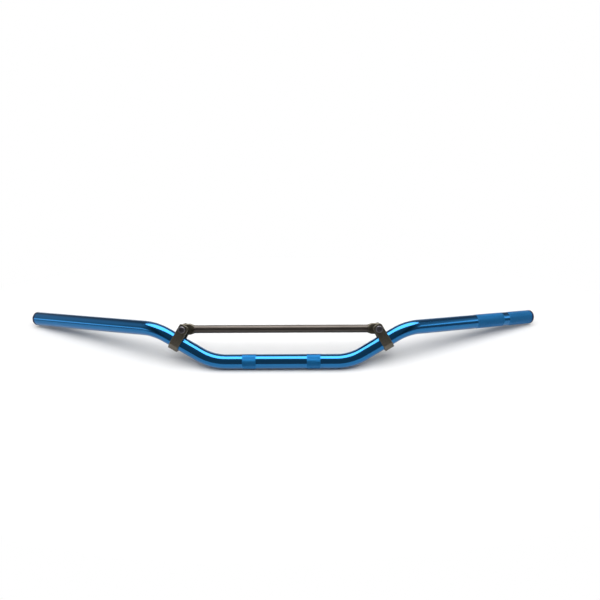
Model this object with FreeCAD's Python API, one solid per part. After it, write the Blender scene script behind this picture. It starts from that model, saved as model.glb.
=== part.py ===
import FreeCAD, Part
import math
import os

# A motocross handlebar as it lies on a table: the middle of the tube in front, both ends behind.
# Millimetres. +X runs to the rider's left grip, +Y from the front to the rider, +Z up from the table.
# The origin is the middle of the clamped stretch, on the tube's centre line.

# Handlebar tube, one bent piece
tube_diameter = 22.2
tube_wall = 4.0
end_spacing = 816.5
lower_corner_spacing = 209.0
upper_corner_spacing = 376.0
riser_height = 50.0
end_height = 62.0
pull_back_length = 90.0
lower_bend_radius = 78.0
upper_bend_radius = 64.0
end_chamfer = 0.8

# Knurled stretches of the tube, rolled a little below its surface
knurl_depth = 0.05
stem_band_spacing = 97.0
stem_band_width = 20.5
grip_knurl_start = 4.0
grip_knurl_outer_length = 46.0
grip_knurl_gap = 11.0
grip_knurl_inner_length = 52.0

# Crossbar, a thin tube whose ends are pressed flat and shut
crossbar_diameter = 12.0
crossbar_wall = 2.0
flat_reach = 9.5
press_length = 6.5

# Crossbar clamps, a U with two ears
clamp_width = 14.5
clamp_wall = 3.3
clamp_bridge_wall = 2.4
clamp_bevel = 8.0
ear_corner_radius = 4.0
clamp_clearance = 0.05
clamp_bend_gap = 9.8
crossbar_end_gap = 2.0
edge_bevel = 0.5

# Fasteners
bolt_diameter = 6.0
bolt_length = 40.0
head_diameter = 10.0
head_height = 6.0
head_bevel = 0.7
socket_across_flats = 5.0
socket_depth = 3.2
hole_clearance = 0.2
thread_clearance = 0.03
spacer_diameter = 12.0
nut_across_flats = 10.0
nut_height = 5.2

# Sizes that follow
tube_radius = tube_diameter / 2
bore_radius = tube_radius - tube_wall
crossbar_radius = crossbar_diameter / 2
flat_thickness = 2 * crossbar_wall
flat_width = flat_thickness + math.pi * (crossbar_diameter - flat_thickness) / 2
ear_inside = tube_radius + clamp_clearance
ear_outside = ear_inside + clamp_wall
clamp_bottom = -ear_inside - clamp_bridge_wall
hole_radius = bolt_diameter / 2 + hole_clearance
overcut = 1.0
same_place = 0.000001

Vector = FreeCAD.Vector
across = Vector(1, 0, 0)
origin = Vector(0, 0, 0)


def lean_angle():
    """Angle of the risers' plane above the table when the middle and both ends touch it."""
    drop = math.atan2(pull_back_length, end_height)
    reach = math.hypot(pull_back_length, end_height)
    run = (end_spacing - upper_corner_spacing) / 2
    fall = math.sin(drop) * riser_height
    slope = math.atan2(fall, math.hypot(run, reach - math.cos(drop) * riser_height))
    end_centre = tube_radius * (math.cos(slope) - 1) - end_chamfer * math.sin(slope)
    return drop + math.asin(end_centre / reach)


lean = lean_angle()
rise = Vector(0, math.cos(lean), math.sin(lean))
front = Vector(0, -math.sin(lean), math.cos(lean))


def at(x, height, back=0.0):
    """Point given along the bar, up the risers' plane and behind that plane."""
    return across * x + rise * height - front * back


lower_corner = at(lower_corner_spacing / 2, 0)
upper_corner = at(upper_corner_spacing / 2, riser_height)
tube_end = at(end_spacing / 2, end_height, pull_back_length)
riser_direction = (upper_corner - lower_corner).normalize()
grip_direction = (tube_end - upper_corner).normalize()


def mirrored(point):
    """The same point on the other side of the bar."""
    return Vector(-point.x, point.y, point.z)


def to_other_side(shape):
    return shape.mirror(origin, across)


def cylinder(radius, length, base=origin, direction=Vector(0, 0, 1)):
    return Part.makeCylinder(radius, length, base, direction)


def tangent_points(before, corner, after, radius):
    """Start, middle and end of the arc that rounds a corner."""
    back = (before - corner).normalize()
    ahead = (after - corner).normalize()
    half_angle = back.getAngle(ahead) / 2
    inward = (back + ahead).normalize()
    tangent = radius / math.tan(half_angle)
    middle = corner + inward * (radius / math.sin(half_angle) - radius)
    return corner + back * tangent, middle, corner + ahead * tangent


upper_bend_start = tangent_points(lower_corner, upper_corner, tube_end, upper_bend_radius)[0]
clamp_foot = upper_bend_start - riser_direction * (clamp_bend_gap + clamp_width / 2)
clamp_up = front.cross(riser_direction)
bolt_offset = tube_radius + crossbar_end_gap + flat_width / 2
bolt_point = clamp_foot + clamp_up * bolt_offset
ear_top = bolt_offset + clamp_width / 2
bolt_spacing = 2 * bolt_point.x
crossbar_height = bolt_point.dot(rise)


def rounded_path(points, radii):
    """Straight runs through the points, joined by tangent arcs."""
    edges = []
    start = points[0]
    for before, corner, after, radius in zip(points, points[1:], points[2:], radii):
        arc_start, arc_middle, arc_end = tangent_points(before, corner, after, radius)
        edges.append(Part.LineSegment(start, arc_start).toShape())
        edges.append(Part.Arc(arc_start, arc_middle, arc_end).toShape())
        start = arc_end
    edges.append(Part.LineSegment(start, points[-1]).toShape())
    return Part.Wire(edges)


def edges_at(shape, height):
    """Edges that lie flat at one height along Z."""
    return [edge for edge in shape.Edges
            if all(abs(vertex.Z - height) < same_place for vertex in edge.Vertexes)]


def swept_round(path, radius, start, direction):
    disc = Part.Face(Part.Wire(Part.makeCircle(radius, start, direction)))
    return path.makePipe(disc)


def knurl_ring(base, direction, length):
    """Thin sleeve of metal that the knurling tool presses away."""
    sleeve = cylinder(tube_radius + overcut, length, base, direction)
    return sleeve.cut(cylinder(tube_radius - knurl_depth, length, base, direction))


def end_edges(tube, centre, radius):
    """Circular edges of a tube's end with the given radius."""
    found = []
    for edge in tube.Edges:
        curve = edge.Curve
        if isinstance(curve, Part.Circle) and abs(curve.Radius - radius) < same_place:
            if curve.Center.distanceToPoint(centre) < same_place:
                found.append(edge)
    return found


def handlebar_tube():
    half = [lower_corner, upper_corner, tube_end]
    points = [mirrored(point) for point in reversed(half)] + half
    radii = [upper_bend_radius, lower_bend_radius, lower_bend_radius, upper_bend_radius]
    path = rounded_path(points, radii)
    direction = (points[1] - points[0]).normalize()
    tube = swept_round(path, tube_radius, points[0], direction)
    tube = tube.cut(swept_round(path, bore_radius, points[0], direction))
    for centre in (points[0], points[-1]):
        tube = tube.makeChamfer(end_chamfer, end_edges(tube, centre, tube_radius))
    for side in (-1, 1):
        start = across * (side * stem_band_spacing / 2 - stem_band_width / 2)
        tube = tube.cut(knurl_ring(start, across, stem_band_width))
    inward = grip_direction * -1
    outer_start = tube_end + inward * grip_knurl_start
    tube = tube.cut(knurl_ring(outer_start, inward, grip_knurl_outer_length))
    inner_start = outer_start + inward * (grip_knurl_outer_length + grip_knurl_gap)
    return tube.cut(knurl_ring(inner_start, inward, grip_knurl_inner_length))


def round_section(radius, x):
    """Circle in four arcs, which the loft joins to the four sides of a flattened section."""
    corners = [Vector(x, radius * math.cos(turn), radius * math.sin(turn))
               for turn in [math.radians(45 + 90 * quarter) for quarter in range(4)]]
    middles = [Vector(x, radius * math.cos(turn), radius * math.sin(turn))
               for turn in [math.radians(90 + 90 * quarter) for quarter in range(4)]]
    arcs = [Part.Arc(corners[k], middles[k], corners[(k + 1) % 4]).toShape() for k in range(4)]
    return Part.Wire(arcs)


def flat_section(width, thickness, x):
    """Two flat sides joined by two half-round edges."""
    half = thickness / 2
    centre = width / 2 - half
    front_in, front_out = Vector(x, centre, half), Vector(x, -centre, half)
    rear_out, rear_in = Vector(x, -centre, -half), Vector(x, centre, -half)
    return Part.Wire([
        Part.LineSegment(front_in, front_out).toShape(),
        Part.Arc(front_out, Vector(x, -width / 2, 0), rear_out).toShape(),
        Part.LineSegment(rear_out, rear_in).toShape(),
        Part.Arc(rear_in, Vector(x, width / 2, 0), front_in).toShape(),
    ])


def pressed_end(round_x, flat_x, end_x):
    """From the round bar over the press's slope to the flat end, without the hole."""
    flat_side = flat_section(flat_width, flat_thickness, flat_x)
    slope = Part.makeLoft([round_section(crossbar_radius, round_x), flat_side], True, True)
    flat = Part.Face(flat_side).extrude(across * (end_x - flat_x))
    return slope.fuse(flat)


def crossbar_bore(round_x, flat_x):
    """Round bore whose ends close to a line where the walls are pressed together."""
    radius = crossbar_radius - crossbar_wall
    outline = Part.makePolygon([Vector(-flat_x, -radius, 0), Vector(-round_x, -radius, radius),
                                Vector(round_x, -radius, radius), Vector(flat_x, -radius, 0),
                                Vector(round_x, -radius, -radius), Vector(-round_x, -radius, -radius),
                                Vector(-flat_x, -radius, 0)])
    wedge = Part.Face(outline).extrude(Vector(0, 2 * radius, 0))
    return wedge.common(cylinder(radius, 2 * flat_x, Vector(-flat_x, 0, 0), across))


def rounded_end_cutter(bolt_x):
    """What is trimmed off beyond the flat end's round tip, with the bolt hole."""
    base = Vector(bolt_x, 0, -crossbar_radius)
    block = Part.makeBox(flat_width, 2 * flat_width, crossbar_diameter, base - Vector(0, flat_width, 0))
    trim = block.cut(cylinder(flat_width / 2, crossbar_diameter, base))
    return trim.fuse(cylinder(hole_radius, crossbar_diameter, base))


def crossbar():
    bolt_x = bolt_spacing / 2
    flat_x = bolt_x - flat_reach
    round_x = flat_x - press_length
    side = pressed_end(round_x, flat_x, bolt_x + flat_width / 2)
    cutter = rounded_end_cutter(bolt_x)
    bar = cylinder(crossbar_radius, 2 * round_x, Vector(-round_x, 0, 0), across)
    bar = bar.fuse([side, to_other_side(side)]).removeSplitter()
    bar = bar.cut([crossbar_bore(round_x, flat_x), cutter, to_other_side(cutter)])
    bar.Placement = FreeCAD.Placement(rise * crossbar_height, FreeCAD.Rotation(across, rise, front, "XYZ"))
    return bar


def placed_on_riser(shape, base):
    """Turns a shape so that X follows the riser, Y points to the bolt and Z to the front."""
    shape.Placement = FreeCAD.Placement(base, FreeCAD.Rotation(riser_direction, clamp_up, front, "XYZ"))
    return shape


def clamp_profile():
    """Section of the clamp across the tube: bevelled outside, U inside."""
    shoulder = clamp_bottom + clamp_bevel
    foot = ear_outside - clamp_bevel
    outside = [(ear_top, ear_inside), (ear_top, ear_outside), (shoulder, ear_outside), (clamp_bottom, foot),
               (clamp_bottom, -foot), (shoulder, -ear_outside), (ear_top, -ear_outside),
               (ear_top, -ear_inside), (0, -ear_inside)]
    points = [Vector(0, y, z) for y, z in outside]
    edges = [Part.LineSegment(a, b).toShape() for a, b in zip(points, points[1:])]
    seat = Part.Arc(points[-1], Vector(0, -ear_inside, 0), Vector(0, 0, ear_inside)).toShape()
    last = Part.LineSegment(Vector(0, 0, ear_inside), points[0]).toShape()
    return Part.Face(Part.Wire(edges + [seat, last]))


def ear_outline():
    """Front view of the clamp: straight sides and two rounded corners above the bolt."""
    back = -ear_outside - overcut
    base = Vector(-clamp_width / 2, clamp_bottom, back)
    block = Part.makeBox(clamp_width, ear_top - clamp_bottom, -2 * back, base)
    corners = [edge for edge in block.Edges
               if abs(edge.BoundBox.YMin - ear_top) < same_place and edge.BoundBox.XLength < same_place]
    return block.makeFillet(ear_corner_radius, corners)


def crossbar_clamp():
    block = clamp_profile().extrude(Vector(clamp_width, 0, 0))
    block.translate(Vector(-clamp_width / 2, 0, 0))
    clamp = block.common(ear_outline())
    outline = edges_at(clamp, ear_outside) + edges_at(clamp, -ear_outside)
    clamp = clamp.makeChamfer(edge_bevel, outline)
    hole_base = Vector(0, bolt_offset, -ear_outside - overcut)
    clamp = clamp.cut(cylinder(hole_radius, 2 * (ear_outside + overcut), hole_base))
    return placed_on_riser(clamp, clamp_foot)


def bevelled_disc(radius, bevel, start, height):
    """Turned disc along Z with its far edge bevelled."""
    disc = cylinder(radius, height, Vector(0, 0, start))
    return disc.makeChamfer(bevel, edges_at(disc, start + height))


def hexagon(across_flats, height, start):
    corner_radius = across_flats / 2 / math.cos(math.pi / 6)
    turns = [k * math.pi / 3 for k in range(7)]
    corners = [Vector(corner_radius * math.cos(turn), corner_radius * math.sin(turn), start) for turn in turns]
    return Part.Face(Part.makePolygon(corners)).extrude(Vector(0, 0, height))


def clamp_bolt():
    """Socket cap screw whose head lies on the front ear."""
    head = bevelled_disc(head_diameter / 2, head_bevel, ear_outside, head_height)
    shank = cylinder(bolt_diameter / 2, bolt_length, Vector(0, 0, ear_outside - bolt_length))
    socket = hexagon(socket_across_flats, socket_depth + overcut, ear_outside + head_height - socket_depth)
    return placed_on_riser(head.fuse(shank).removeSplitter().cut(socket), bolt_point)


def clamp_spacer(side):
    """Bush between one ear and the crossbar's flat end."""
    bush = cylinder(spacer_diameter / 2, ear_inside - flat_thickness / 2, Vector(0, 0, flat_thickness / 2))
    bush = bush.cut(cylinder(hole_radius, ear_inside + overcut))
    if side < 0:
        bush = bush.mirror(origin, Vector(0, 0, 1))
    return placed_on_riser(bush, bolt_point)


def clamp_nut():
    reach = ear_outside + nut_height + overcut
    hole = cylinder(bolt_diameter / 2 + thread_clearance, reach, Vector(0, 0, -reach))
    nut = hexagon(nut_across_flats, nut_height, -ear_outside - nut_height).cut(hole)
    return placed_on_riser(nut, bolt_point)


def save(name, shape):
    shape.exportStep(os.path.join("parts", name + ".step"))


def main():
    os.makedirs("parts", exist_ok=True)
    save("handlebar_tube", handlebar_tube())
    save("crossbar", crossbar())
    pieces = {
        "crossbar_clamp": crossbar_clamp(),
        "clamp_bolt": clamp_bolt(),
        "front_spacer": clamp_spacer(1),
        "rear_spacer": clamp_spacer(-1),
        "clamp_nut": clamp_nut(),
    }
    for name, shape in pieces.items():
        save("left_" + name, shape)
        save("right_" + name, to_other_side(shape))


main()
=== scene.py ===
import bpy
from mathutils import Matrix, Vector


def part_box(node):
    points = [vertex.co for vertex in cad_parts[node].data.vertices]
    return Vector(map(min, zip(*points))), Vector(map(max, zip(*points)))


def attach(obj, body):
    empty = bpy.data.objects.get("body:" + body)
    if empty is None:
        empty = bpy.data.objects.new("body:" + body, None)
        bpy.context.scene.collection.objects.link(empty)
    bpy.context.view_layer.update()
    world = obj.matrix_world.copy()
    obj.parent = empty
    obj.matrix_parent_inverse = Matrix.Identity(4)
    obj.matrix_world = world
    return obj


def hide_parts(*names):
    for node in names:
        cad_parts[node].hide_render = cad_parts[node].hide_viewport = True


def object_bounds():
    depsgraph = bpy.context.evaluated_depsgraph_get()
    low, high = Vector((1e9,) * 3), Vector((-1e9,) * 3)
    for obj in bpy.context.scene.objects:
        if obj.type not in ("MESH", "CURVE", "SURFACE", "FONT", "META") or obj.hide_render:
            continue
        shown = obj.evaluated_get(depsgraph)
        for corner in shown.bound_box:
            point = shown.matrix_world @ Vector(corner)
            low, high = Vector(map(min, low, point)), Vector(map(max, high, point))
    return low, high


bl_info = {
    "name": "Braced Handlebar",
    "version": (1, 0, 0),
    "blender": (4, 5, 0),
    "location": "View3D > Sidebar > Handlebar",
    "description": "Dresses a bent handlebar with its knurled tube, its crossbar and its clamps",
    "category": "Object",
}

import math

import bmesh
import bpy
from bpy.props import FloatProperty, FloatVectorProperty, PointerProperty
from mathutils import Matrix, Vector

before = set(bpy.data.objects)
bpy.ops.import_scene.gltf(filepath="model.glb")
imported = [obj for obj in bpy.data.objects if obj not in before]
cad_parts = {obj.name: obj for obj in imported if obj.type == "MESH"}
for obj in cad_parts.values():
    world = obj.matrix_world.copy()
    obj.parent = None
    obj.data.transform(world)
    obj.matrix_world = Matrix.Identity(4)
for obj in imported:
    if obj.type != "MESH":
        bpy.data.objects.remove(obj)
cad_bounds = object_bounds()

BODY = "root"
MM = 0.001
SAME_PLACE = 0.001 * MM
TOUCHING = 0.01 * MM
ACROSS = Vector((1, 0, 0))
UP = Vector((0, 0, 1))


def linear(hex_colour):
    """The linear colour of an sRGB hex value."""
    channels = [int(hex_colour[k:k + 2], 16) / 255 for k in (1, 3, 5)]
    return tuple(c / 12.92 if c <= 0.04045 else ((c + 0.055) / 1.055) ** 2.4 for c in channels)


def length_property(name, description, millimetres):
    return FloatProperty(name=name, description=description, default=millimetres * MM, min=0,
                         unit="LENGTH", precision=5)


def colour_property(name, description, hex_colour):
    return FloatVectorProperty(name=name, description=description, default=linear(hex_colour), min=0, max=1,
                               size=3, subtype="COLOR")


class HandlebarSizes(bpy.types.PropertyGroup):
    tube_diameter: length_property("Tube diameter", "Outside of the tube", 22.2)
    tube_wall: length_property("Tube wall", "Thickness of the tube's metal", 4.0)
    end_spacing: length_property("End spacing", "Between the middles of the tube's ends", 816.5)
    lower_corner_spacing: length_property("Lower corner spacing", "Between the corners that start the risers",
                                          209.0)
    upper_corner_spacing: length_property("Upper corner spacing", "Between the corners that end the risers",
                                          376.0)
    riser_height: length_property("Riser height", "Height of the upper corners above the middle", 50.0)
    end_height: length_property("End height", "Height of the ends above the middle", 62.0)
    pull_back: length_property("Pull back", "How far the ends lie behind the risers", 90.0)
    lower_bend_radius: length_property("Lower bend radius", "Bend at the foot of a riser", 78.0)
    upper_bend_radius: length_property("Upper bend radius", "Bend at the head of a riser", 64.0)
    end_chamfer: length_property("End chamfer", "Bevel of the tube's ends", 0.8)
    # end_band: length of the nearly navy band that is coloured at each end of the tube
    end_band: length_property("End band", "Length of the dark turned band at each end", 3.2)
    stem_band_spacing: length_property("Stem band spacing", "Between the middles of the stem's knurled bands",
                                       97.0)
    stem_band_width: length_property("Stem band width", "Width of each knurled band for the stem", 20.5)
    grip_knurl_start: length_property("Grip knurl start", "From the tube's end to the knurling", 4.0)
    grip_knurl_outer: length_property("Outer grip knurl", "Length of the knurling near the end", 46.0)
    grip_knurl_gap: length_property("Grip knurl gap", "Plain metal between the two knurlings", 11.0)
    grip_knurl_inner: length_property("Inner grip knurl", "Length of the second knurling", 52.0)
    knurl_depth: length_property("Knurl depth", "Depth of the grooves between the diamonds", 0.16)
    knurl_row: length_property("Knurl row", "Half the length of a diamond along the tube", 0.9)
    pressed_length: length_property("Pressed length", "From a clamp's middle to where the crossbar is round",
                                    23.0)
    edge_break: length_property("Edge break", "Small round that deburring leaves on a cut edge", 0.25)
    thread_length: length_property("Thread length", "From a bolt's tip to where its thread ends", 8.0)
    thread_pitch: length_property("Thread pitch", "Advance of the thread in one turn", 1.0)
    thread_depth: length_property("Thread depth", "Depth of the thread's groove", 0.55)
    nut_chamfer_radius: length_property("Nut chamfer radius", "Where the chamfer of a nut begins", 4.75)


class HandlebarColours(bpy.types.PropertyGroup):
    blue: colour_property("Blue", "Dye of the tube's anodised skin", "#15649A")
    # dark_blue: colour of the nearly navy band at each end of the tube, darker than the rest of its skin
    dark_blue: colour_property("Dark blue", "Dye of the turned ends of the tube", "#161E42")
    bronze: colour_property("Bronze", "Dye of the crossbar", "#4D4742")
    blasted: colour_property("Blasted bronze", "Dye of the clamps and their spacers", "#5F5A4F")
    steel: colour_property("Blackened steel", "Bolts and nuts", "#68656A")
    floor: colour_property("Floor", "Table top", "#E2E2E2")


def sizes():
    return bpy.context.scene.handlebar_sizes


def colours():
    return bpy.context.scene.handlebar_colours


# Materials

WHITE = (1, 1, 1, 1)


def add_node(tree, kind, settings=None, links=None):
    """Adds a node, sets its properties and sockets, and links sockets to outputs of other nodes."""
    node = tree.nodes.new(kind)
    for key, value in (settings or {}).items():
        if key in node.bl_rna.properties.keys():
            setattr(node, key, value)
        else:
            node.inputs[key].default_value = value
    for key, output in (links or {}).items():
        tree.links.new(output, node.inputs[key])
    return node


def new_material(name):
    material = bpy.data.materials.new(name)
    material.use_nodes = True
    tree = material.node_tree
    tree.nodes.clear()
    return material, tree


def mottled(tree, place, patch, detail, colour, change):
    """Colour that wanders between a darker and a lighter tone from patch to patch."""
    patches = add_node(tree, "ShaderNodeTexNoise", {"Scale": 1 / patch, "Detail": detail}, {"Vector": place})
    dark, light = [(*(channel * share for channel in colour), 1) for share in (1 - change, 1 + change)]
    # A Mix node takes its two colours at sockets 6 and 7, and gives a colour at output 2
    mix = add_node(tree, "ShaderNodeMix", {"data_type": "RGBA", 6: dark, 7: light},
                   {0: patches.outputs["Fac"]})
    return mix.outputs[2]


# What a pattern follows, as a node, its settings and its output: the place along and round the tube as if it
# were straight, so that marks follow its bends, or the place on the object
ALONG_TUBE = ("ShaderNodeAttribute", {"attribute_name": "straight_place"}, "Vector")
ON_OBJECT = ("ShaderNodeTexCoord", {}, "Object")

LINE_LENGTH = 20 * MM
LINE_DEPTH = 0.02 * MM
NOISE_LOW, NOISE_HIGH = 0.3, 0.7


def metal(name, colour, follows, roughness, spread, line_width, patch, change, coat, bump):
    """Coloured metal under a thin clear layer, with uneven colour and the fine lines of its last working.
    Real lines are thinner than a tenth of a millimetre, and are drawn wider so that they show."""
    material, tree = new_material(name)
    kind, settings, output = follows
    place = add_node(tree, kind, settings).outputs[output]
    drawn_out = add_node(tree, "ShaderNodeMapping",
                         {"Scale": (1 / LINE_LENGTH, 1 / line_width, 1 / line_width)}, {"Vector": place})
    lines = add_node(tree, "ShaderNodeTexNoise", {"Scale": 1.0, "Detail": 4.0},
                     {"Vector": drawn_out.outputs["Vector"]}).outputs["Fac"]
    gloss = add_node(tree, "ShaderNodeMapRange", {"From Min": NOISE_LOW, "From Max": NOISE_HIGH,
                                                  "To Min": roughness - spread, "To Max": roughness + spread},
                     {"Value": lines})
    relief = add_node(tree, "ShaderNodeBump", {"Strength": bump, "Distance": LINE_DEPTH}, {"Height": lines})
    shader = add_node(tree, "ShaderNodeBsdfPrincipled",
                      {"Metallic": 1.0, "Coat Weight": coat, "Coat Roughness": roughness},
                      {"Base Color": mottled(tree, place, patch, 3.0, colour, change),
                       "Roughness": gloss.outputs["Result"], "Normal": relief.outputs["Normal"]})
    add_node(tree, "ShaderNodeOutputMaterial", links={"Surface": shader.outputs["BSDF"]})
    return material


def polished_blue():
    """Polished before dyeing, so it mirrors the room in narrow bands with clean edges."""
    return metal("polished_blue_anodised_aluminium", colours().blue, ALONG_TUBE, roughness=0.13, spread=0.03,
                 line_width=0.6 * MM, patch=30 * MM, change=0.08, coat=0.35, bump=0.15)


def knurled_blue():
    """Rolled into diamonds before dyeing, so it scatters light and looks paler and flat."""
    return metal("knurled_blue_anodised_aluminium", colours().blue, ALONG_TUBE, roughness=0.45, spread=0.06,
                 line_width=0.6 * MM, patch=30 * MM, change=0.1, coat=0.15, bump=0.2)


def dark_end_blue():
    """Nearly navy band at each end of the tube, darker than the rest of its skin."""
    return metal("dark_end_blue_anodised_aluminium", colours().dark_blue, ALONG_TUBE, roughness=0.35,
                 spread=0.05, line_width=0.4 * MM, patch=30 * MM, change=0.1, coat=0.3, bump=0.3)


def satin_bronze():
    """Drawn tube, brushed before dyeing, so its dark skin has a soft sheen along its length."""
    return metal("satin_bronze_anodised_aluminium", colours().bronze, ON_OBJECT, roughness=0.4, spread=0.05,
                 line_width=0.8 * MM, patch=20 * MM, change=0.12, coat=0.3, bump=0.3)


def blasted_bronze():
    """Milled and blasted before dyeing, so its skin is matt and mottled. Grit leaves finer patches than
    these of 1.4 mm, which are as coarse as they need to be to show."""
    return metal("blasted_bronze_anodised_aluminium", colours().blasted, ON_OBJECT, roughness=0.46,
                 spread=0.08, line_width=0.8 * MM, patch=1.4 * MM, change=0.45, coat=0.2, bump=0.6)


def blackened_steel():
    """Hot blackened screw steel with a trace of oil, slightly bluish and unevenly glossy."""
    return metal("blackened_screw_steel", colours().steel, ON_OBJECT, roughness=0.32, spread=0.08,
                 line_width=0.5 * MM, patch=3 * MM, change=0.2, coat=0.1, bump=0.3)


# The tube's path, from its sizes and from the crossbar's place in the frame

def box_centre(node):
    low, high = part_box(node)
    return (low + high) / 2


def bar_axes():
    """Directions up the risers' plane and out of its front."""
    rise = box_centre("crossbar").normalized()
    return rise, ACROSS.cross(rise)


def path_points():
    """Ends and corners of the tube's centre line, from the throttle end to the clutch end."""
    s = sizes()
    rise, front = bar_axes()
    lower = ACROSS * s.lower_corner_spacing / 2
    upper = ACROSS * s.upper_corner_spacing / 2 + rise * s.riser_height
    end = ACROSS * s.end_spacing / 2 + rise * s.end_height - front * s.pull_back
    half = [lower, upper, end]
    return [Vector((-p.x, p.y, p.z)) for p in reversed(half)] + half


def tube_course():
    """Start and first direction of the centre line, the lengths of its five straight runs, and the four
    bends between them, each as axis, angle and radius."""
    s = sizes()
    points = path_points()
    radii = [s.upper_bend_radius, s.lower_bend_radius, s.lower_bend_radius, s.upper_bend_radius]
    bends = []
    trims = [0.0]
    for before, corner, after, radius in zip(points, points[1:], points[2:], radii):
        coming = (corner - before).normalized()
        going = (after - corner).normalized()
        angle = coming.angle(going)
        bends.append((coming.cross(going).normalized(), angle, radius))
        trims.append(radius * math.tan(angle / 2))
    trims.append(0.0)
    runs = [(b - a).length - trims[k] - trims[k + 1] for k, (a, b) in enumerate(zip(points, points[1:]))]
    return points[0], (points[1] - points[0]).normalized(), runs, bends


MIDDLE_RUN, LAST_RUN = 2, 4


def tube_bands(runs):
    """Knurled bands as start and length, by straight run: on the middle one for the stem, and on the
    last one for the fixed grip."""
    s = sizes()
    middle = runs[MIDDLE_RUN] / 2
    stem = [(middle + side * s.stem_band_spacing / 2 - s.stem_band_width / 2, s.stem_band_width)
            for side in (-1, 1)]
    outer = runs[LAST_RUN] - s.grip_knurl_start - s.grip_knurl_outer
    inner = outer - s.grip_knurl_gap - s.grip_knurl_inner
    return {MIDDLE_RUN: stem, LAST_RUN: [(inner, s.grip_knurl_inner), (outer, s.grip_knurl_outer)]}


# The tube's skin

TUBE_SIDES = 116
BEND_STEPS = 20
BORE_BEND_STEPS = 8
POLISHED, KNURLED, DARK_END = range(3)


class TubeSkin:
    """Skin that a ring of edges leaves behind as it moves along the bar and turns round its bends."""

    def __init__(self, radius, start, direction):
        self.mesh = bmesh.new()
        self.place = self.mesh.verts.layers.float_vector.new("straight_place")
        self.radius = radius
        self.centre = start
        self.direction = direction
        self.along = 0.0
        self.material = POLISHED
        turn = direction.to_track_quat("Z", "Y").to_matrix().to_4x4()
        made = bmesh.ops.create_circle(self.mesh, segments=TUBE_SIDES, radius=radius, cap_ends=False,
                                       matrix=Matrix.Translation(start) @ turn)
        self.ring = made["verts"] + [e for v in made["verts"] for e in v.link_edges if e.verts[0] == v]
        for k, vertex in enumerate(made["verts"]):
            angle = 2 * math.pi * k / TUBE_SIDES
            vertex[self.place] = Vector((0, radius * math.cos(angle), radius * math.sin(angle)))

    def verts(self):
        return [g for g in self.ring if isinstance(g, bmesh.types.BMVert)]

    def edges(self):
        return [g for g in self.ring if isinstance(g, bmesh.types.BMEdge)]

    def mark(self, distance):
        """Notes how far the ring has come, and gives the newest faces their material."""
        self.along += distance
        for vertex in self.verts():
            around = vertex[self.place]
            vertex[self.place] = Vector((self.along, around.y, around.z))
        for face in {face for edge in self.edges() for face in edge.link_faces}:
            face.material_index = self.material
            face.smooth = True

    def forward(self, distance):
        """Straight run."""
        step = self.direction * distance
        made = bmesh.ops.extrude_edge_only(self.mesh, edges=self.edges())["geom"]
        verts = [g for g in made if isinstance(g, bmesh.types.BMVert)]
        new_edges = [g for g in made if isinstance(g, bmesh.types.BMEdge) and g.is_boundary]
        bmesh.ops.translate(self.mesh, verts=verts, vec=step)
        self.ring = verts + new_edges
        self.centre = self.centre + step
        self.mark(distance)

    def turn(self, pivot, axis, angle, steps):
        """Bend round a pivot."""
        radius = (self.centre - pivot).length
        for _ in range(steps):
            made = bmesh.ops.spin(self.mesh, geom=self.ring, cent=pivot, axis=axis, angle=angle / steps,
                                  steps=1, use_merge=False, use_normal_flip=False, use_duplicate=False)
            self.ring = [g for g in made["geom_last"] if not isinstance(g, bmesh.types.BMFace)]
            spin = Matrix.Rotation(angle / steps, 3, axis)
            self.centre = pivot + spin @ (self.centre - pivot)
            self.direction = spin @ self.direction
            self.mark(radius * angle / steps)

    def resize(self, radius):
        """Brings the ring to another radius where it is."""
        bmesh.ops.scale(self.mesh, verts=self.verts(), vec=Vector((1, 1, 1)) * radius / self.radius,
                        space=Matrix.Translation(-self.centre))
        self.radius = radius


def knurl(skin, length):
    """Diamonds rolled into a straight run: every second point of a fine grid is pressed in. They are drawn
    1.2 mm wide, a little coarser than rolled ones usually are, so that they show."""
    s = sizes()
    rows = 2 * round(length / s.knurl_row / 2)
    first = set(skin.mesh.faces)
    skin.material = KNURLED
    for row in range(1, rows + 1):
        skin.forward(length / rows)
        for vertex in skin.verts():
            around = vertex[skin.place]
            k = round(math.atan2(around.z, around.y) / (2 * math.pi) * TUBE_SIDES)
            depth = s.knurl_depth if (k + row) % 2 and row < rows else 0
            outward = (vertex.co - skin.centre).normalized()
            vertex.co = skin.centre + outward * (skin.radius - depth)
    faces = [f for f in skin.mesh.faces if f not in first]
    facets = bmesh.ops.triangulate(skin.mesh, faces=faces, quad_method="SHORT_EDGE", ngon_method="BEAUTY")
    for face in facets["faces"]:
        face.smooth = False
    skin.material = POLISHED


def straight_with_bands(skin, length, bands):
    """Straight run with knurled bands, each given by its start and its length."""
    done = 0.0
    for start, band in bands:
        skin.forward(start - done)
        knurl(skin, band)
        done = start + band
    if length - done > TOUCHING:
        skin.forward(length - done)


def sweep(skin, runs, bends, bands, bend_steps):
    """Takes a ring along all the straight runs and bends."""
    for k, run in enumerate(runs):
        straight_with_bands(skin, run, bands.get(k, []))
        if k < len(bends):
            axis, angle, radius = bends[k]
            inward = axis.cross(skin.direction)
            skin.turn(skin.centre + inward * radius, axis, angle, bend_steps)


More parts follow.
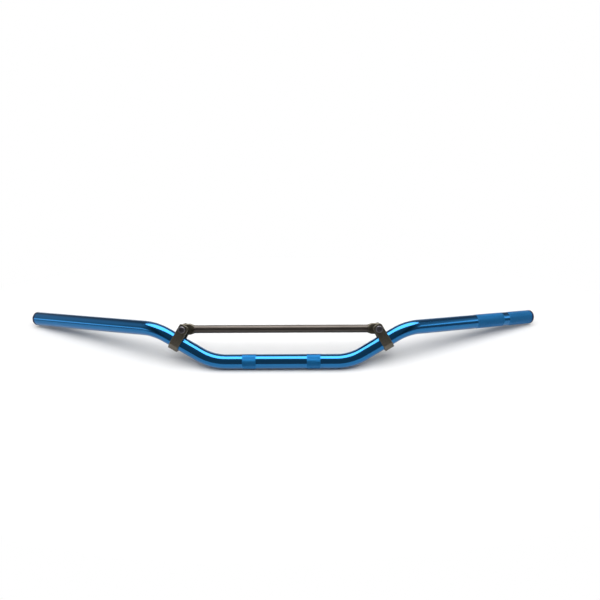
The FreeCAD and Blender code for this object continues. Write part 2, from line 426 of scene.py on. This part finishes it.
def outer_skin():
    """Outside of the tube with its knurled bands, its dark end bands and its end faces. A step of no length
    whose ring then gets another radius makes an end face."""
    s = sizes()
    start, direction, runs, bends = tube_course()
    bands = tube_bands(runs)
    for end in (0, -1):
        runs[end] -= s.end_chamfer + s.end_band
    radius = s.tube_diameter / 2
    skin = TubeSkin(radius - s.tube_wall, start, direction)
    skin.material = DARK_END
    skin.forward(0)
    skin.resize(radius - s.end_chamfer)
    skin.forward(s.end_chamfer)
    skin.resize(radius)
    skin.forward(s.end_band)
    skin.material = POLISHED
    sweep(skin, runs, bends, bands, BEND_STEPS)
    skin.material = DARK_END
    skin.forward(s.end_band)
    skin.forward(s.end_chamfer)
    skin.resize(radius - s.end_chamfer)
    skin.forward(0)
    skin.resize(radius - s.tube_wall)
    return skin.mesh


def bore_skin():
    """Inside of the tube from mouth to mouth."""
    s = sizes()
    start, direction, runs, bends = tube_course()
    skin = TubeSkin(s.tube_diameter / 2 - s.tube_wall, start, direction)
    sweep(skin, runs, bends, {}, BORE_BEND_STEPS)
    return skin.mesh


def finish_piece(name, shape, replaced, materials, edge_angle):
    """Makes the object, shades it smooth up to an angle and ties it to the frame."""
    mesh = bpy.data.meshes.new(name)
    shape.to_mesh(mesh)
    shape.free()
    mesh.set_sharp_from_angle(angle=math.radians(edge_angle))
    for material in materials:
        mesh.materials.append(material)
    piece = bpy.data.objects.new(name, mesh)
    bpy.context.scene.collection.objects.link(piece)
    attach(piece, BODY)
    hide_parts(replaced)


class HANDLEBAR_OT_tube(bpy.types.Operator):
    """Draws the bent tube with its bore, its chamfered ends and its knurled bands"""
    bl_idname = "handlebar.tube"
    bl_label = "Handlebar tube"

    def execute(self, context):
        shape = outer_skin()
        bore = bore_skin()
        inside = bpy.data.meshes.new("bore")
        bore.to_mesh(inside)
        bore.free()
        shape.from_mesh(inside)
        bpy.data.meshes.remove(inside)
        mouths = [v for v in shape.verts if v.is_boundary]
        bmesh.ops.remove_doubles(shape, verts=mouths, dist=TOUCHING)
        bmesh.ops.recalc_face_normals(shape, faces=shape.faces)
        materials = [polished_blue(), knurled_blue(), dark_end_blue()]
        finish_piece("polished_tube", shape, "handlebar_tube", materials, edge_angle=10)
        return {"FINISHED"}


# Pieces that keep their node's shape

FLAT_ANGLE = math.radians(0.5)
SHARP_ANGLE = math.radians(40)
SATIN, BLASTED = range(2)


def merged_copy(node):
    """A node's shape with its facets merged and its flat faces whole."""
    shape = bmesh.new()
    shape.from_mesh(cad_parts[node].data)
    bmesh.ops.remove_doubles(shape, verts=shape.verts, dist=SAME_PLACE)
    bmesh.ops.dissolve_limit(shape, angle_limit=FLAT_ANGLE, verts=shape.verts, edges=shape.edges)
    for face in shape.faces:
        face.smooth = True
        face.material_index = 0
    return shape


def break_edges(shape):
    """Rounds every sharp edge a little."""
    sharp = [e for e in shape.edges if e.is_manifold and e.calc_face_angle() > SHARP_ANGLE]
    bmesh.ops.bevel(shape, geom=sharp, offset=sizes().edge_break, offset_type="OFFSET", segments=2,
                    profile=0.5, material=-1, affect="EDGES", clamp_overlap=True)


def split(shape, point, normal, drop_outside=False):
    """Splits a shape's faces along a plane, and can cut off what lies outside and close the opening."""
    everything = shape.verts[:] + shape.edges[:] + shape.faces[:]
    bmesh.ops.bisect_plane(shape, geom=everything, dist=SAME_PLACE, plane_co=point, plane_no=normal,
                           clear_outer=drop_outside)
    if drop_outside:
        bmesh.ops.holes_fill(shape, edges=[e for e in shape.edges if e.is_boundary], sides=0)


class HANDLEBAR_OT_crossbar(bpy.types.Operator):
    """Draws the crossbar with its pressed ends"""
    bl_idname = "handlebar.crossbar"
    bl_label = "Crossbar"

    def execute(self, context):
        shape = merged_copy("crossbar")
        break_edges(shape)
        round_end = abs(box_centre("left_crossbar_clamp").x) - sizes().pressed_length
        for side in (-1, 1):
            split(shape, ACROSS * side * round_end, ACROSS)
        for face in shape.faces:
            face.material_index = BLASTED if abs(face.calc_center_median().x) > round_end else SATIN
        materials = [satin_bronze(), blasted_bronze()]
        finish_piece("satin_crossbar", shape, "crossbar", materials, edge_angle=30)
        return {"FINISHED"}


class HANDLEBAR_OT_clamps(bpy.types.Operator):
    """Draws the crossbar's clamps and the spacers between their ears"""
    bl_idname = "handlebar.clamps"
    bl_label = "Crossbar clamps"

    def execute(self, context):
        material = blasted_bronze()
        for side in ("left", "right"):
            for node in ("crossbar_clamp", "front_spacer", "rear_spacer"):
                shape = merged_copy(f"{side}_{node}")
                break_edges(shape)
                finish_piece(f"{side}_blasted_{node}", shape, f"{side}_{node}", [material],
                             edge_angle=30)
        return {"FINISHED"}


ROWS_PER_TURN = 12
CHAMFER_PLANES = 36
CHAMFER_ANGLE = math.radians(30)


def cut_thread(shape, tip, axis):
    """Presses a helical groove into the tip of a round shank, with a bevelled start."""
    s = sizes()
    base = tip - axis * s.thread_length
    split(shape, base, axis)
    lines = [e for e in shape.edges if e.calc_length() > s.thread_length / 2
             and min((v.co - base).dot(axis) for v in e.verts) > -TOUCHING]
    rows = round(ROWS_PER_TURN * s.thread_length / s.thread_pitch)
    bmesh.ops.subdivide_edges(shape, edges=lines, cuts=rows, use_grid_fill=True)
    upright = axis.cross(ACROSS)
    for vertex in shape.verts:
        along = (vertex.co - base).dot(axis)
        if along > 0:
            spoke = vertex.co - base - axis * along
            angle = math.atan2(spoke.dot(upright), spoke.dot(ACROSS))
            wave = 0.5 - 0.5 * math.cos(2 * math.pi * along / s.thread_pitch - angle)
            groove = s.thread_depth * wave * min(1, along / s.thread_pitch)
            bevel = s.thread_depth - (s.thread_length - along)
            vertex.co -= spoke.normalized() * min(spoke.length, max(groove, bevel))


def chamfer_nut(shape, centre, axis, half_height):
    """Cuts the corners of a nut's two faces with a ring of planes, as a turned chamfer does."""
    upright = axis.cross(ACROSS)
    for side in (-1, 1):
        for k in range(CHAMFER_PLANES):
            angle = 2 * math.pi * k / CHAMFER_PLANES
            outward = ACROSS * math.cos(angle) + upright * math.sin(angle)
            point = centre + axis * side * half_height + outward * sizes().nut_chamfer_radius
            normal = outward * math.sin(CHAMFER_ANGLE) + axis * side * math.cos(CHAMFER_ANGLE)
            split(shape, point, normal, drop_outside=True)


class HANDLEBAR_OT_fasteners(bpy.types.Operator):
    """Draws the clamp bolts, with the thread on their tips, and their nuts"""
    bl_idname = "handlebar.fasteners"
    bl_label = "Clamp bolts and nuts"

    def execute(self, context):
        material = blackened_steel()
        rear = -bar_axes()[1]
        for side in ("left", "right"):
            for node in ("clamp_bolt", "clamp_nut"):
                shape = merged_copy(f"{side}_{node}")
                centre = box_centre(f"{side}_{node}")
                reach = max((v.co - centre).dot(rear) for v in shape.verts)
                if node == "clamp_nut":
                    chamfer_nut(shape, centre, rear, reach)
                break_edges(shape)
                if node == "clamp_bolt":
                    cut_thread(shape, centre + rear * reach, rear)
                finish_piece(f"{side}_black_{node}", shape, f"{side}_{node}", [material],
                             edge_angle=25)
        return {"FINISHED"}


# Stage: camera, with its lens in pixels of the picture

CAMERA_ELEVATION = math.radians(41.834)
CAMERA_TURN = math.radians(-0.377)
CAMERA_DISTANCE = 825.2 * MM
CAMERA_SIDE = 49.2 * MM
CAMERA_REACH = 50
PICTURE_SIZE = 600
FOCAL_PIXELS = 545.6
AXIS_PIXEL = (314.12, 361.38)
SENSOR = 36.0


def add_camera():
    camera = bpy.data.cameras.new("camera")
    camera.sensor_width = SENSOR
    camera.lens = FOCAL_PIXELS * SENSOR / PICTURE_SIZE
    camera.shift_x = (PICTURE_SIZE / 2 - AXIS_PIXEL[0]) / PICTURE_SIZE
    camera.shift_y = (AXIS_PIXEL[1] - PICTURE_SIZE / 2) / PICTURE_SIZE
    camera.clip_end = CAMERA_REACH
    holder = bpy.data.objects.new("camera", camera)
    away = Vector((0, -math.cos(CAMERA_ELEVATION), math.sin(CAMERA_ELEVATION)))
    place = ACROSS * CAMERA_SIDE + away * CAMERA_DISTANCE
    turn = Matrix.Rotation(CAMERA_TURN, 4, "Z")
    tilt = Matrix.Rotation(math.pi / 2 - CAMERA_ELEVATION, 4, "X")
    holder.matrix_world = turn @ Matrix.Translation(place) @ tilt
    bpy.context.scene.collection.objects.link(holder)
    bpy.context.scene.camera = holder


def add_softbox(name, direction, width, depth, radiance, distance=1.7):
    """Oval lamp that faces the bar, as bright per area as given."""
    lamp = bpy.data.lights.new(name, "AREA")
    lamp.shape = "ELLIPSE"
    lamp.size = width
    lamp.size_y = depth
    area = math.pi / 4 * width * depth
    lamp.energy = radiance * math.pi * area
    holder = bpy.data.objects.new(name, lamp)
    place = direction.normalized() * distance
    holder.matrix_world = Matrix.Translation(place) @ place.to_track_quat("Z", "Y").to_matrix().to_4x4()
    bpy.context.scene.collection.objects.link(holder)
    return holder


# Stage: table, which keeps the shadow within an oval round the bar

TABLE_HALF = 6
TABLE_PATCH = 8 * MM
OVAL_SQUEEZE = 0.45
OVAL_START, OVAL_END = 0.19, 0.32


def seen_ray(tree):
    """One where the camera looks, directly, in a reflection or through glass."""
    path = add_node(tree, "ShaderNodeLightPath")
    indirect = add_node(tree, "ShaderNodeMath", {"operation": "MAXIMUM"},
                        {0: path.outputs["Is Glossy Ray"], 1: path.outputs["Is Transmission Ray"]})
    seen = add_node(tree, "ShaderNodeMath", {"operation": "MAXIMUM"},
                    {0: path.outputs["Is Camera Ray"], 1: indirect.outputs["Value"]})
    return seen.outputs["Value"]


def matt_white_table():
    """Matt lacquered board, evenly pale, that turns plain white away from the bar and its shadow."""
    material, tree = new_material("matt_white_lacquered_board")
    place = add_node(tree, "ShaderNodeTexCoord").outputs["Object"]
    colour = mottled(tree, place, TABLE_PATCH, 2.0, colours().floor, change=0.01)
    lit = add_node(tree, "ShaderNodeBsdfPrincipled", {"Roughness": 0.9, "Specular IOR Level": 0.2},
                   {"Base Color": colour})
    white = add_node(tree, "ShaderNodeEmission", {"Color": WHITE, "Strength": 1.0})
    oval = add_node(tree, "ShaderNodeMapping", {"Scale": (OVAL_SQUEEZE, 1, 1)}, {"Vector": place})
    reach = add_node(tree, "ShaderNodeVectorMath", {"operation": "LENGTH"},
                     {"Vector": oval.outputs["Vector"]})
    away = add_node(tree, "ShaderNodeMapRange", {"From Min": OVAL_START, "From Max": OVAL_END},
                    {"Value": reach.outputs["Value"]})
    share = add_node(tree, "ShaderNodeMath", {"operation": "MULTIPLY"},
                     {0: away.outputs["Result"], 1: seen_ray(tree)})
    surface = add_node(tree, "ShaderNodeMixShader", links={0: share.outputs["Value"], 1: lit.outputs["BSDF"],
                                                           2: white.outputs["Emission"]})
    add_node(tree, "ShaderNodeOutputMaterial", links={"Surface": surface.outputs["Shader"]})
    return material


def add_table():
    shape = bmesh.new()
    bmesh.ops.create_grid(shape, x_segments=1, y_segments=1, size=TABLE_HALF)
    bmesh.ops.translate(shape, verts=shape.verts, vec=UP * cad_bounds[0].z)
    mesh = bpy.data.meshes.new("table")
    shape.to_mesh(mesh)
    shape.free()
    mesh.materials.append(matt_white_table())
    table = bpy.data.objects.new("table", mesh)
    bpy.context.scene.collection.objects.link(table)


# Stage: the room that the metal mirrors. First come its brightnesses, and then its borders, as components of
# a direction of length one, with X to the right, Y to the back and Z up.

FRONT_WALL, REAR_WALL = 0.21, 0.5
CORNER_SHADE = 0.4
SIDE_GAIN = 1.3
STRIP_LIGHT = 2.0
WALLS_MEET = (-0.4, 0.0)
DARK_CORNERS = (0.36, 0.62)
SIDE_WALLS = (0.62, 0.78)
STRIP_HEIGHT = (0.14, 0.3)
STRIP_RISE = 0.38
STRIP_WIDTH = (0.76, 1.2)


def window(tree, value, limits, soft):
    """One between two limits and nothing outside them, with soft borders."""
    low, high = limits
    rising = add_node(tree, "ShaderNodeMapRange", {"From Min": low - soft, "From Max": low + soft},
                      {"Value": value})
    falling = add_node(tree, "ShaderNodeMapRange", {"From Min": high + soft, "From Max": high - soft},
                       {"Value": value})
    both = add_node(tree, "ShaderNodeMath", {"operation": "MULTIPLY"},
                    {0: rising.outputs["Result"], 1: falling.outputs["Result"]})
    return both.outputs["Value"]


def strip_brightness(tree, direction, sideways):
    """Thin strip of light on the side walls, low on the left one and higher on the right one."""
    climb = add_node(tree, "ShaderNodeMapRange", {"To Max": -STRIP_RISE}, {"Value": direction.outputs["X"]})
    height = add_node(tree, "ShaderNodeMath", {"operation": "ADD"},
                      {0: direction.outputs["Z"], 1: climb.outputs["Result"]})
    strip = add_node(tree, "ShaderNodeMath", {"operation": "MULTIPLY"},
                     {0: window(tree, height.outputs["Value"], STRIP_HEIGHT, soft=0.03),
                      1: window(tree, sideways, STRIP_WIDTH, soft=0.04)})
    light = add_node(tree, "ShaderNodeMapRange", {"To Max": STRIP_LIGHT}, {"Value": strip.outputs["Value"]})
    return light.outputs["Result"]


def add_world():
    """White backdrop for the camera, and a room that is pale behind the bar and dark in front of it."""
    world = bpy.data.worlds.new("studio")
    bpy.context.scene.world = world
    world.use_nodes = True
    tree = world.node_tree
    tree.nodes.clear()
    outward = add_node(tree, "ShaderNodeTexCoord").outputs["Generated"]
    direction = add_node(tree, "ShaderNodeSeparateXYZ", links={"Vector": outward})
    sideways = add_node(tree, "ShaderNodeMath", {"operation": "ABSOLUTE"},
                        {"Value": direction.outputs["X"]}).outputs["Value"]
    walls = add_node(tree, "ShaderNodeMapRange", {"From Min": WALLS_MEET[0], "From Max": WALLS_MEET[1],
                                                  "To Min": FRONT_WALL, "To Max": REAR_WALL},
                     {"Value": direction.outputs["Y"]})
    corners = add_node(tree, "ShaderNodeMapRange", {"To Min": 1.0, "To Max": CORNER_SHADE},
                       {"Value": window(tree, sideways, DARK_CORNERS, soft=0.08)})
    sides = add_node(tree, "ShaderNodeMapRange", {"From Min": SIDE_WALLS[0], "From Max": SIDE_WALLS[1],
                                                  "To Min": 1.0, "To Max": SIDE_GAIN}, {"Value": sideways})
    shaded = add_node(tree, "ShaderNodeMath", {"operation": "MULTIPLY"},
                      {0: walls.outputs["Result"], 1: corners.outputs["Result"]})
    strength = add_node(tree, "ShaderNodeMath", {"operation": "MULTIPLY_ADD"},
                        {0: shaded.outputs["Value"], 1: sides.outputs["Result"],
                         2: strip_brightness(tree, direction, sideways)})
    room = add_node(tree, "ShaderNodeBackground", {"Color": WHITE}, {"Strength": strength.outputs["Value"]})
    white = add_node(tree, "ShaderNodeBackground", {"Color": WHITE, "Strength": 1.0})
    path = add_node(tree, "ShaderNodeLightPath")
    surface = add_node(tree, "ShaderNodeMixShader",
                       links={0: path.outputs["Is Camera Ray"], 1: room.outputs["Background"],
                              2: white.outputs["Background"]})
    add_node(tree, "ShaderNodeOutputWorld", links={"Surface": surface.outputs["Shader"]})


class HANDLEBAR_OT_stage(bpy.types.Operator):
    """Sets up the camera, the table, the lamps and the backdrop"""
    bl_idname = "handlebar.stage"
    bl_label = "Stage"

    def execute(self, context):
        add_camera()
        add_table()
        add_world()
        mirrored = add_softbox("mirrored_softbox", Vector((0, 0.344, 1)), width=2.5, depth=1.58, radiance=5.6)
        mirrored.visible_diffuse = False
        overhead = add_softbox("overhead_softbox", Vector((0, -0.13, 1)), width=2.5, depth=1.7, radiance=4.05)
        overhead.visible_glossy = False
        context.scene.view_settings.view_transform = "Standard"
        return {"FINISHED"}


class VIEW3D_PT_handlebar(bpy.types.Panel):
    bl_label = "Handlebar"
    bl_idname = "VIEW3D_PT_handlebar"
    bl_space_type = "VIEW_3D"
    bl_region_type = "UI"
    bl_category = "Handlebar"

    def draw(self, context):
        for group in (context.scene.handlebar_sizes, context.scene.handlebar_colours):
            column = self.layout.column()
            for name in group.__annotations__:
                column.prop(group, name)
        for operator in OPERATORS:
            self.layout.operator(operator.bl_idname)


OPERATORS = (
    HANDLEBAR_OT_tube,
    HANDLEBAR_OT_crossbar,
    HANDLEBAR_OT_clamps,
    HANDLEBAR_OT_fasteners,
    HANDLEBAR_OT_stage,
)
CLASSES = (HandlebarSizes, HandlebarColours, *OPERATORS, VIEW3D_PT_handlebar)


def register():
    for cls in CLASSES:
        bpy.utils.register_class(cls)
    bpy.types.Scene.handlebar_sizes = PointerProperty(type=HandlebarSizes)
    bpy.types.Scene.handlebar_colours = PointerProperty(type=HandlebarColours)


def unregister():
    del bpy.types.Scene.handlebar_sizes
    del bpy.types.Scene.handlebar_colours
    for cls in reversed(CLASSES):
        bpy.utils.unregister_class(cls)


def main():
    register()
    bpy.ops.handlebar.tube()
    bpy.ops.handlebar.crossbar()
    bpy.ops.handlebar.clamps()
    bpy.ops.handlebar.fasteners()
    bpy.ops.handlebar.stage()


if __name__ == "__main__":
    main()
